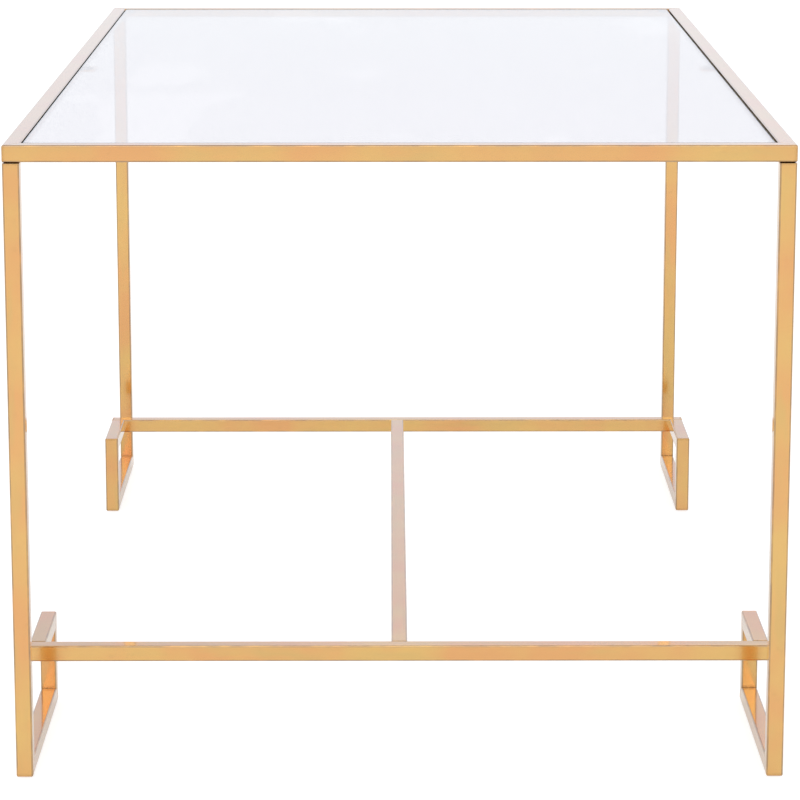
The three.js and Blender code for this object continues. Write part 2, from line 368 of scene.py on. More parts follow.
@dataclass(frozen=True)
class GoldFinish:
    """Polished gold plating under a thin clear lacquer, with draw lines along the tube, and rounded
    edges darkened partly by wear and partly as a painted dark reflection.
    """

    axis: Axis
    yellow: Colour = colour(0.90, 0.56, 0.17)
    orange: Colour = colour(0.92, 0.465, 0.16)
    olive: Colour = colour(0.79, 0.53, 0.17)
    # Rounded edges are darker: partly wear, partly a painted dark reflection line.
    edge_wear_and_shade_tone: Colour = colour(0.40, 0.26, 0.14)
    joint_tone: Colour = colour(0.36, 0.19, 0.07)
    clouds: Pattern = Pattern(9.0, 3.0, 0.36, 0.64)
    streaks: Pattern = Pattern(16.0, 2.0, 0.50, 0.72)
    specks: Pattern = Pattern(90.0, 4.0, 0.62, 0.80)
    edge_wear_and_shade: Pattern = Pattern(40.0, 2.0, 0.05, 0.60)
    joint_grime: Pattern = Pattern(240.0, 4.0, 0.20, 0.62)
    streak_stretch: tuple[float, float] = (3.0, 0.6)  # across the tube, along it
    line_stretch: tuple[float, float] = (1.0, 0.02)
    line_scale: float = 420.0
    wave_scale: float = 38.0
    wave_detail: float = 1.0
    streak_share: float = 0.6
    edge_wear_and_shade_share: float = 0.8
    joint_share: float = 0.5
    speck_share: float = 0.06
    roughness: float = 0.17
    line_roughness: float = 0.07
    joint_roughness: float = 0.2
    relief: float = 0.10 * MM
    relief_strength: float = 0.5
    line_relief: float = 0.15
    lacquer_loss: float = 0.3
    lacquer_roughness: float = 0.04
    lacquer_ior: float = 1.66

    def _along(self, stretch: tuple[float, float]) -> list[float]:
        """Turns a pattern's stretch to the way the tube runs.

        Args:
            stretch: The scale across the tube and the scale along it.

        Returns:
            The scale on each axis.
        """
        across, along = stretch
        return [along if i == self.axis.value else across for i in range(3)]

    def material(self) -> bpy.types.Material:
        """Makes the material.

        Returns:
            The finished material.
        """
        shader = Shader.of_material(f"gold_plating_along_{self.axis.name.lower()}")
        clouds = shader.pattern(self.clouds)
        streaks = shader.pattern(self.streaks, self._along(self.streak_stretch))
        specks = shader.pattern(self.specks)
        lines = shader.noise(self.line_scale, stretch=self._along(self.line_stretch))
        waves = shader.noise(self.wave_scale, self.wave_detail)
        edge = shader.attribute("edge") * shader.pattern(self.edge_wear_and_shade)
        joint = shader.attribute("joint") * shader.pattern(self.joint_grime)
        marks = specks * self.speck_share
        tone = shader.mix(clouds, self.yellow, self.orange)
        tone = shader.mix(streaks * self.streak_share, tone, self.olive)
        # Darkens the rounded edges: partly wear, partly a painted dark reflection line.
        tone = shader.mix(edge * self.edge_wear_and_shade_share, tone, self.edge_wear_and_shade_tone)
        tone = shader.mix((joint * self.joint_share + marks).clamped(), tone, self.joint_tone)
        rough = self.roughness + (lines - 0.5) * self.line_roughness + marks
        rough = rough + joint * self.joint_roughness
        height = waves * (1.0 - self.line_relief) + lines * self.line_relief
        surface = shader.node(
            "ShaderNodeBsdfPrincipled",
            inputs={
                "Base Color": tone,
                "Metallic": 1.0,
                "Roughness": rough,
                "Coat Weight": 1.0 - joint * self.lacquer_loss,
                "Coat Roughness": self.lacquer_roughness,
                "Coat IOR": self.lacquer_ior,
                "Normal": shader.bump(height, self.relief, self.relief_strength),
            },
        )
        return shader.finish(surface.outputs[0])


@dataclass(frozen=True)
class GlassFinish:
    """Clear float glass with faint wiping marks."""

    tint: Colour = colour(0.990, 0.972, 0.932)
    ior: float = 1.52
    shine_ior: float = 1.75
    wiping: Pattern = Pattern(5.0, 4.0, 0.45, 0.75)
    wiping_stretch: tuple[float, float, float] = (1.0, 0.35, 1.0)
    wiping_roughness: float = 0.008

    def material(self) -> bpy.types.Material:
        """Makes the material, which lets light through to what is behind it.

        Returns:
            The finished material.
        """
        shader = Shader.of_material("clear_float_glass")
        marks = shader.pattern(self.wiping, self.wiping_stretch)
        glass = shader.node(
            "ShaderNodeBsdfPrincipled",
            inputs={
                "Base Color": self.tint,
                "Roughness": marks * self.wiping_roughness,
                "IOR": self.ior,
                "Transmission Weight": 1.0,
                "Coat Weight": 1.0,
                "Coat IOR": self.shine_ior,
                "Coat Roughness": 0.0,
            },
        )
        clear = shader.node("ShaderNodeBsdfTransparent", inputs={"Color": self.tint})
        light = shader.node("ShaderNodeLightPath")
        mixed = shader.node(
            "ShaderNodeMixShader",
            inputs={0: light.outputs["Is Shadow Ray"], 1: glass.outputs[0], 2: clear.outputs[0]},
        )
        return shader.finish(mixed.outputs[0])


@dataclass(frozen=True)
class GlassEdgeFinish:
    """The pane's ground edge: its own deep, dull green, made near-black and opaque as painted shade of
    the gap between pane and rail.
    """

    # Near-black: partly the edge's own green, partly painted shade of the gap between pane and rail.
    deep_green_and_gap_shade: Colour = colour(0.008, 0.020, 0.017)
    light: Colour = colour(0.020, 0.050, 0.042)
    grinding: Pattern = Pattern(30.0, 3.0, 0.35, 0.70)
    grinding_stretch: tuple[float, float, float] = (1.0, 1.0, 6.0)
    roughness: float = 0.38
    grinding_roughness: float = 0.12
    specular: float = 0.12

    def material(self) -> bpy.types.Material:
        """Makes the material.

        Returns:
            The finished material.
        """
        shader = Shader.of_material("ground_glass_edge")
        streaks = shader.pattern(self.grinding, self.grinding_stretch)
        surface = shader.node(
            "ShaderNodeBsdfPrincipled",
            inputs={
                "Base Color": shader.mix(streaks, self.deep_green_and_gap_shade, self.light),
                "Roughness": self.roughness + streaks * self.grinding_roughness,
                "Specular IOR Level": self.specular,
            },
        )
        return shader.finish(surface.outputs[0])


@dataclass(frozen=True)
class PadFinish:
    """Clear soft polyurethane with a slight haze."""

    clear: Colour = colour(0.90, 0.94, 0.94)
    hazy: Colour = colour(0.82, 0.88, 0.88)
    haze_scale: float = 320.0
    haze_detail: float = 3.0
    roughness: float = 0.16
    haze_roughness: float = 0.12
    ior: float = 1.48
    transmission: float = 0.75

    def material(self) -> bpy.types.Material:
        """Makes the material.

        Returns:
            The finished material.
        """
        shader = Shader.of_material("clear_polyurethane")
        haze = shader.noise(self.haze_scale, self.haze_detail)
        surface = shader.node(
            "ShaderNodeBsdfPrincipled",
            inputs={
                "Base Color": shader.mix(haze, self.clear, self.hazy),
                "Roughness": self.roughness + haze * self.haze_roughness,
                "IOR": self.ior,
                "Transmission Weight": self.transmission,
            },
        )
        return shader.finish(surface.outputs[0])


@dataclass(frozen=True)
class ZincFinish:
    """Bright zinc plating with a slight warm passivation."""

    cool: Colour = colour(0.62, 0.64, 0.67)
    warm: Colour = colour(0.66, 0.62, 0.52)
    spangle: Pattern = Pattern(420.0, 3.0, 0.35, 0.65)
    grain_scale: float = 2400.0
    roughness: float = 0.24
    spangle_roughness: float = 0.16
    relief: float = 0.02 * MM
    relief_strength: float = 0.5

    def material(self) -> bpy.types.Material:
        """Makes the material.

        Returns:
            The finished material.
        """
        shader = Shader.of_material("bright_zinc")
        spangle = shader.pattern(self.spangle)
        grain = shader.noise(self.grain_scale)
        surface = shader.node(
            "ShaderNodeBsdfPrincipled",
            inputs={
                "Base Color": shader.mix(spangle, self.cool, self.warm),
                "Metallic": 1.0,
                "Roughness": self.roughness + spangle * self.spangle_roughness,
                "Normal": shader.bump(grain, self.relief, self.relief_strength),
            },
        )
        return shader.finish(surface.outputs[0])


@dataclass(frozen=True)
class NylonFinish:
    """Moulded off-white nylon, a little scuffed where it meets the floor."""

    clean: Colour = colour(0.74, 0.71, 0.63)
    scuffed: Colour = colour(0.50, 0.47, 0.41)
    scuffs: Pattern = Pattern(300.0, 5.0, 0.52, 0.72)
    scuff_stretch: tuple[float, float, float] = (1.0, 0.25, 1.0)
    roughness: float = 0.42
    scuff_roughness: float = 0.3
    relief: float = 0.04 * MM
    relief_strength: float = 0.4

    def material(self) -> bpy.types.Material:
        """Makes the material.

        Returns:
            The finished material.
        """
        shader = Shader.of_material("moulded_nylon")
        scuffs = shader.pattern(self.scuffs, self.scuff_stretch)
        surface = shader.node(
            "ShaderNodeBsdfPrincipled",
            inputs={
                "Base Color": shader.mix(scuffs, self.clean, self.scuffed),
                "Roughness": self.roughness + scuffs * self.scuff_roughness,
                "Normal": shader.bump(scuffs, self.relief, self.relief_strength),
            },
        )
        return shader.finish(surface.outputs[0])


@dataclass(frozen=True)
class FloorFinish:
    """A white light table, dimmer in what the desk mirrors than to the eye, with a painted shadow pool
    beneath the desk in what the desk mirrors.
    """

    tone: Colour = grey(0.42)
    roughness: float = 0.8
    seen: Colour = grey(0.75)
    mirrored: Colour = grey(0.435)
    # A painted shadow pool under the desk, seen only in what the desk mirrors; the shares below give
    # where it thins and ends.
    painted_shadow_pool: Colour = grey(0.365)
    reach: float = 2.0
    shadow_pool_fade: tuple[float, float] = (0.25, 0.55)  # shares of the reach where the shelter thins and ends

    def material(self) -> bpy.types.Material:
        """Makes the material.

        Returns:
            The finished material.
        """
        shader = Shader.of_material("light_table")
        away = shader.node("ShaderNodeVectorMath", {"operation": "LENGTH"}, {0: shader.object_point()})
        # Painted shadow pool: the mirrored floor is darker towards the desk.
        clear = shader.ramp(Value(shader, away.outputs["Value"]) * (1.0 / self.reach), *self.shadow_pool_fade)
        mirrored = shader.mix(clear, self.painted_shadow_pool, self.mirrored)
        surface = shader.node(
            "ShaderNodeBsdfPrincipled",
            inputs={
                "Base Color": self.tone,
                "Roughness": self.roughness,
                "Specular IOR Level": 0.0,
                "Emission Color": shader.mix(shader.seen(), mirrored, self.seen),
                "Emission Strength": 1.0,
            },
        )
        return shader.finish(surface.outputs[0])


@dataclass
class Finishes:
    """Every material of the desk, made once."""

    gold: dict[Axis, bpy.types.Material] = field(init=False)
    glass: bpy.types.Material = field(init=False)
    glass_edge: bpy.types.Material = field(init=False)
    pad: bpy.types.Material = field(init=False)
    zinc: bpy.types.Material = field(init=False)
    nylon: bpy.types.Material = field(init=False)

    def __post_init__(self) -> None:
        """Makes the materials."""
        self.gold = {axis: GoldFinish(axis).material() for axis in Axis}
        self.glass = GlassFinish().material()
        self.glass_edge = GlassEdgeFinish().material()
        self.pad = PadFinish().material()
        self.zinc = ZincFinish().material()
        self.nylon = NylonFinish().material()


# ---------------------------------------------------------------- mesh tools


def smooth(bm: bmesh.types.BMesh, sharp_degrees: float = 50.0) -> None:
    """Shades a mesh smooth, apart from its sharp edges.

    Args:
        bm: The mesh.
        sharp_degrees: Edges that turn more than this stay sharp.
    """
    for face in bm.faces:
        face.smooth = True
    limit = math.radians(sharp_degrees)
    for edge in bm.edges:
        edge.smooth = not (edge.is_manifold and edge.calc_face_angle() > limit)


def bevel(
    bm: bmesh.types.BMesh, edges: Iterable[bmesh.types.BMEdge], width: float, segments: int
) -> None:
    """Rounds edges.

    Args:
        bm: The mesh.
        edges: The edges to round.
        width: How far the rounding reaches on each side of an edge.
        segments: How many faces make the rounding.
    """
    bmesh.ops.bevel(
        bm, geom=list(edges), offset=width, offset_type="OFFSET", segments=segments,
        profile=0.5, affect="EDGES", clamp_overlap=True, material=-1,
    )  # fmt: skip


def block(lo: Vector, hi: Vector) -> bmesh.types.BMesh:
    """A box to shape further.

    Args:
        lo: Its lowest corner.
        hi: Its highest corner.

    Returns:
        The mesh.
    """
    bm = bmesh.new()
    bmesh.ops.create_cube(bm, size=1.0)
    bmesh.ops.scale(bm, vec=hi - lo, verts=bm.verts)
    bmesh.ops.translate(bm, vec=(lo + hi) / 2, verts=bm.verts)
    return bm


def rims(faces: Iterable[bmesh.types.BMFace]) -> list[bmesh.types.BMEdge]:
    """The edges round some faces, each once and in a fixed order."""
    return list(dict.fromkeys(edge for face in faces for edge in face.edges))


def upright(edge: bmesh.types.BMEdge) -> bool:
    """Whether an edge runs from one height to another."""
    return abs(edge.verts[0].co.z - edge.verts[1].co.z) > NEAR


def quarter(steps: int) -> list[tuple[float, float]]:
    """Points round a quarter turn.

    Args:
        steps: How many steps make the quarter.

    Returns:
        The sine and cosine of each turn, from none to a quarter.
    """
    turns = [math.pi / 2 * step / steps for step in range(steps + 1)]
    return [(math.sin(turn), math.cos(turn)) for turn in turns]


def axis_foot(node: str) -> Vector:
    """The lowest point on a round CAD node's upright axis.

    Args:
        node: The CAD node.

    Returns:
        The point.
    """
    lo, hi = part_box(node)
    return Vector(((lo.x + hi.x) / 2, (lo.y + hi.y) / 2, lo.z))


def turned(profile: Sequence[tuple[float, float]], centre: Vector, steps: int) -> bmesh.types.BMesh:
    """A closed shape turned about an upright axis.

    Args:
        profile: (radius, height) points up its outside, from axis to axis or back to the start.
        centre: The point on the axis at height 0.
        steps: Faces round the axis.

    Returns:
        The mesh.
    """
    bm = bmesh.new()
    points = [bm.verts.new((radius, 0.0, height)) for radius, height in profile]
    for first, second in zip(points, points[1:]):
        bm.edges.new((first, second))
    if profile[0] == profile[-1]:
        bmesh.ops.remove_doubles(bm, verts=bm.verts, dist=MERGE)
    bmesh.ops.spin(
        bm, geom=bm.verts[:] + bm.edges[:], axis=(0, 0, 1), cent=(0, 0, 0),
        angle=2 * math.pi, steps=steps, use_merge=True,
    )  # fmt: skip
    bmesh.ops.remove_doubles(bm, verts=bm.verts, dist=MERGE)
    bmesh.ops.recalc_face_normals(bm, faces=bm.faces)
    bmesh.ops.translate(bm, vec=centre, verts=bm.verts)
    return bm


def piece(
    name: str,
    bm: bmesh.types.BMesh,
    materials: Sequence[bpy.types.Material],
    nodes: Sequence[str],
    body: str = FRAME_BODY,
) -> bpy.types.Object:
    """Turns a mesh into a finished piece that rides on a body and stands for CAD nodes.

    Args:
        name: The piece's name.
        bm: The mesh, which is freed.
        materials: Its materials, in the order of the faces' numbers.
        nodes: The CAD nodes that it replaces.
        body: The body that it rides on.

    Returns:
        The new object.
    """
    smooth(bm)
    mesh = bpy.data.meshes.new(name)
    bm.to_mesh(mesh)
    bm.free()
    for material in materials:
        mesh.materials.append(material)
    made = bpy.data.objects.new(name, mesh)
    bpy.context.scene.collection.objects.link(made)
    weighted = made.modifiers.new("flat_faces", "WEIGHTED_NORMAL")
    weighted.keep_sharp = True
    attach(made, body)
    if nodes:
        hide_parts(*nodes)
    log.info("%s: %d faces, rides on %s", name, len(mesh.polygons), body)
    return made


# ---------------------------------------------------------------- square tube


@dataclass
class SquareTube:
    """One length of square steel tube, open at both ends, cut square or mitred."""

    name: str
    node: str
    axis: Axis
    start: Turn | None = None
    stop: Turn | None = None
    wall: float = 1.5 * MM
    radius: float = 2.0 * MM
    radius_segments: int = 5
    seam: float = 0.22 * MM
    seam_segments: int = 2
    joint_band: float = 3.0 * MM
    mitre_trim: float = 0.212 * MM  # how far a mitred end stands back from its corner

    def _walls(self) -> bmesh.types.BMesh:
        """Makes the tube's walls, longer than the tube by its own width at each end.

        Returns:
            The walls, open at both ends.
        """
        lo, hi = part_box(self.node)
        reach = self.axis.vector * self.width
        bm = block(lo - reach, hi + reach)
        along = self.axis.value
        ends = [f for f in bm.faces if abs(f.normal[along]) > FLAT_ENOUGH]
        bmesh.ops.delete(bm, geom=ends, context="FACES_ONLY")
        long_edges = [e for e in bm.edges if not e.is_boundary]
        bevel(bm, long_edges, self.radius, self.radius_segments)
        bmesh.ops.solidify(bm, geom=bm.faces[:], thickness=self.wall)
        return bm

    @property
    def width(self) -> float:
        """The tube's outside width."""
        lo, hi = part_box(self.node)
        return sorted(hi - lo)[0]

    def _plane(self, sign: float, turn: Turn | None) -> tuple[Vector, Vector]:
        """The plane of one end.

        Args:
            sign: -1 for the end at the low coordinate, 1 for the high one.
            turn: The way the next tube leaves, or None for a square end.

        Returns:
            A point on the plane and its outward normal.
        """
        lo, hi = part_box(self.node)
        outward = self.axis.vector * sign
        half = (hi - lo)[self.axis.value] / 2
        if turn is None:
            return (lo + hi) / 2 + outward * half, outward
        edge = (lo + hi) / 2 + outward * (half + self.mitre_trim) - turn.vector * self.width / 2
        return edge, (outward + turn.vector).normalized()

    def _cut(self, bm: bmesh.types.BMesh, point: Vector, normal: Vector) -> None:
        """Cuts one end off and closes the wall there.

        Args:
            bm: The tube.
            point: A point on the cut.
            normal: The cut's outward normal.
        """
        geometry = bm.verts[:] + bm.edges[:] + bm.faces[:]
        bmesh.ops.bisect_plane(
            bm, geom=geometry, dist=MERGE, plane_co=point, plane_no=normal, clear_outer=True
        )
        rim = [e for e in bm.edges if e.is_boundary]
        bmesh.ops.bridge_loops(bm, edges=rim)

    def _round_rim(self, bm: bmesh.types.BMesh, point: Vector, normal: Vector) -> None:
        """Rounds the outer rim of one end, so that the joint shows as a hairline.

        Args:
            bm: The tube.
            point: A point on the end's plane.
            normal: The plane's outward normal.
        """
        lo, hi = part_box(self.node)
        centre = (lo + hi) / 2
        rim = []
        for edge in bm.edges:
            if any(abs((v.co - point).dot(normal)) > NEAR for v in edge.verts):
                continue
            middle = (edge.verts[0].co + edge.verts[1].co) / 2 - centre
            middle -= self.axis.vector * middle.dot(self.axis.vector)
            walls = [f for f in edge.link_faces if abs(f.normal.dot(normal)) < FLAT_ENOUGH]
            if walls and walls[0].normal.dot(middle) > 0:
                rim.append(edge)
        bevel(bm, rim, self.seam, self.seam_segments)

    def _mark(self, bm: bmesh.types.BMesh, ends: Sequence[tuple[Vector, Vector]]) -> None:
        """Stores where the rounded edges and the joints are, for the finish.

        Args:
            bm: The tube.
            ends: The point and normal of each end's plane.
        """
        edge = bm.faces.layers.float.new("edge")
        joint = bm.verts.layers.float.new("joint")
        for face in bm.faces:
            face[edge] = float(max(abs(c) for c in face.normal) < FLAT_ENOUGH)
        for vert in bm.verts:
            nearest = min(abs((vert.co - point).dot(normal)) for point, normal in ends)
            vert[joint] = max(0.0, 1.0 - nearest / self.joint_band)

    def build(self, finishes: Finishes) -> bpy.types.Object:
        """Builds the tube in place of its CAD node.

        Args:
            finishes: The materials.

        Returns:
            The piece.
        """
        bm = self._walls()
        ends = [self._plane(-1.0, self.start), self._plane(1.0, self.stop)]
        for point, normal in ends:
            self._cut(bm, point, normal)
        for point, normal in ends:
            geometry = bm.verts[:] + bm.edges[:] + bm.faces[:]
            inside = point - normal * self.joint_band
            bmesh.ops.bisect_plane(bm, geom=geometry, dist=MERGE, plane_co=inside, plane_no=normal)
        for point, normal in ends:
            self._round_rim(bm, point, normal)
        bmesh.ops.recalc_face_normals(bm, faces=bm.faces)
        self._mark(bm, ends)
        return piece(self.name, bm, [finishes.gold[self.axis]], [self.node])


# ---------------------------------------------------------------- sub-assemblies


@dataclass
class TopFrame:
    """The four mitred rails that the pane lies in."""

    def build(self, finishes: Finishes) -> None:
        """Builds the rails.

        Args:
            finishes: The materials.
        """
        inward = {"front": Turn.BACK, "back": Turn.FRONT, "left": Turn.RIGHT, "right": Turn.LEFT}
        for place in ENDS + SIDES:
            axis = Axis.X if place in ENDS else Axis.Y
            turn = inward[place]
            name = f"rail_tube_{place}"
            SquareTube(name, f"top_rail_{place}", axis, turn, turn).build(finishes)


@dataclass
class EndFrames:
    """The legs with their Greek-key feet."""

    def build(self, finishes: Finishes) -> None:
        """Builds four legs and feet.

        Args:
            finishes: The materials.
        """
        for corner in CORNERS:
            self._foot(corner, finishes)

    @staticmethod
    def _foot(corner: str, finishes: Finishes) -> None:
        """Builds one leg with its foot rail, post and return.

        Args:
            corner: The corner's name.
            finishes: The materials.
        """
        front = corner.startswith("front")
        inward, outward = (Turn.BACK, Turn.FRONT) if front else (Turn.FRONT, Turn.BACK)
        SquareTube(f"leg_tube_{corner}", f"leg_{corner}", Axis.Z, start=inward).build(finishes)
        SquareTube(
            f"foot_tube_{corner}", f"foot_rail_{corner}", Axis.Y, start=Turn.UP, stop=Turn.UP
        ).build(finishes)
        SquareTube(
            f"post_tube_{corner}", f"foot_post_{corner}", Axis.Z, start=outward, stop=outward
        ).build(finishes)
        mitred = {"stop": Turn.DOWN} if front else {"start": Turn.DOWN}
        SquareTube(f"return_tube_{corner}", f"foot_return_{corner}", Axis.Y, **mitred).build(finishes)


@dataclass
class Stretchers:
    """The cross stretchers with their end caps, and the long bar between them."""

    cap_round: float = 0.45 * MM
    cap_segments: int = 3
    corner_radius: float = 2.0 * MM
    corner_segments: int = 5

    def build(self, finishes: Finishes) -> None:
        """Builds the stretchers, caps and centre bar.

        Args:
            finishes: The materials.
        """
        for end in ENDS:
            SquareTube(f"stretcher_tube_{end}", f"stretcher_{end}", Axis.X).build(finishes)
        SquareTube("centre_tube", "centre_bar", Axis.Y).build(finishes)
        for corner in CORNERS:
            self._cap(corner, finishes)

    def _cap(self, corner: str, finishes: Finishes) -> None:
        """Builds the plate that closes a stretcher's end.

        Args:
            corner: The corner's name.
            finishes: The materials.
        """
        node = f"stretcher_cap_{corner}"
        lo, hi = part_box(node)
        bm = block(lo, hi)
        through = [e for e in bm.edges if abs(e.verts[0].co.x - e.verts[1].co.x) > NEAR]
        bevel(bm, through, self.corner_radius, self.corner_segments)
        outer = max if corner.endswith("right") else min
        face = outer(bm.faces, key=lambda f: f.calc_center_median().x)
        bevel(bm, face.edges, self.cap_round, self.cap_segments)
        piece(f"cap_plate_{corner}", bm, [finishes.gold[Axis.X]], [node])


@dataclass
class GlassPane:
    """The loose pane, with rounded corners and ground edges."""

    corner_radius: float = 3.0 * MM
    corner_segments: int = 8
    arris: float = 0.8 * MM
    arris_segments: int = 2

    def build(self, finishes: Finishes) -> None:
        """Builds the pane.

        Args:
            finishes: The materials.
        """
        lo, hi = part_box("glass_top")
        bm = block(lo, hi)
        bevel(bm, filter(upright, bm.edges), self.corner_radius, self.corner_segments)
        faces = [f for f in bm.faces if abs(f.normal.z) > FLAT_ENOUGH]
        bevel(bm, rims(faces), self.arris, self.arris_segments)
        for face in bm.faces:
            face.material_index = int(abs(face.normal.z) < FLAT_ENOUGH)
        materials = [finishes.glass, finishes.glass_edge]
        piece("glass_pane", bm, materials, ["glass_top"], GLASS_BODY)


@dataclass
class PaneSupports:
    """The welded gussets and tabs under the pane, with their clear pads."""

    round_over: float = 0.5 * MM
    round_segments: int = 2
    tab_corner: float = 4.0 * MM
    tab_corner_segments: int = 6
    gusset_nose: float = 3.0 * MM
    dome_steps: int = 8
    dome_fullness: float = 0.6  # less than 1 keeps the dome's side steep
    dome_rise: float = 0.65  # the dome's share of a pad's height
    foot_inset: float = 0.96
    foot_rise: float = 0.08
    pad_steps: int = 32

    def build(self, finishes: Finishes) -> None:
        """Builds gussets, tabs and pads.

        Args:
            finishes: The materials.
        """
        for corner in CORNERS:
            self._gusset(corner, finishes)
            self._pad(f"corner_bumper_{corner}", f"gusset_pad_{corner}", finishes)
        for side in SIDES:
            self._tab(side, finishes)
            self._pad(f"side_bumper_{side}", f"tab_pad_{side}", finishes)

    def _gusset(self, corner: str, finishes: Finishes) -> None:
        """Builds one triangular corner plate.

        Args:
            corner: The corner's name.
            finishes: The materials.
        """
        node = f"glass_gusset_{corner}"
        lo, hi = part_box(node)
        bm = block(lo, hi)
        across = 1.0 if corner.endswith("left") else -1.0
        along = 1.0 if corner.startswith("front") else -1.0
        heel = Vector((lo.x if across > 0 else hi.x, lo.y if along > 0 else hi.y, lo.z))
        normal = Vector((across, along, 0.0)).normalized()
        slope = heel + normal * (hi.x - lo.x + self.gusset_nose) * math.sqrt(0.5)
        geometry = bm.verts[:] + bm.edges[:] + bm.faces[:]
        bmesh.ops.bisect_plane(
            bm, geom=geometry, dist=MERGE, plane_co=slope, plane_no=normal, clear_outer=True
        )
        bmesh.ops.holes_fill(bm, edges=[e for e in bm.edges if e.is_boundary])
        bevel(bm, bm.edges, self.round_over, self.round_segments)
        piece(f"gusset_plate_{corner}", bm, [finishes.gold[Axis.X]], [node])

    def _tab(self, side: str, finishes: Finishes) -> None:
        """Builds one tab in the middle of a side rail.

        Args:
            side: The rail's side.
            finishes: The materials.
        """
        node = f"glass_tab_{side}"
        lo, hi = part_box(node)
        bm = block(lo, hi)
        inner_x = hi.x if side == "left" else lo.x
        inner = [e for e in bm.edges if all(abs(v.co.x - inner_x) < NEAR for v in e.verts)]
        bevel(bm, filter(upright, inner), self.tab_corner, self.tab_corner_segments)
        flats = [f for f in bm.faces if abs(f.normal.z) > FLAT_ENOUGH]
        bevel(bm, rims(flats), self.round_over, self.round_segments)
        piece(f"tab_plate_{side}", bm, [finishes.gold[Axis.Y]], [node])

    def _pad(self, name: str, node: str, finishes: Finishes) -> None:
        """Builds one domed bumper.

        Args:
            name: The piece's name.
            node: The CAD node.
            finishes: The materials.
        """
        lo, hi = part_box(node)
        radius, height = (hi.x - lo.x) / 2, hi.z - lo.z
        dome = []
        for sine, cosine in quarter(self.dome_steps):
            side = radius * cosine**self.dome_fullness
            dome.append((side, height * (1.0 - self.dome_rise + self.dome_rise * sine)))
        dome[-1] = (0.0, height)
        foot = [(0.0, 0.0), (radius * self.foot_inset, 0.0), (radius, height * self.foot_rise)]
        bm = turned([*foot, *dome], axis_foot(node), self.pad_steps)
        piece(name, bm, [finishes.pad], [node])


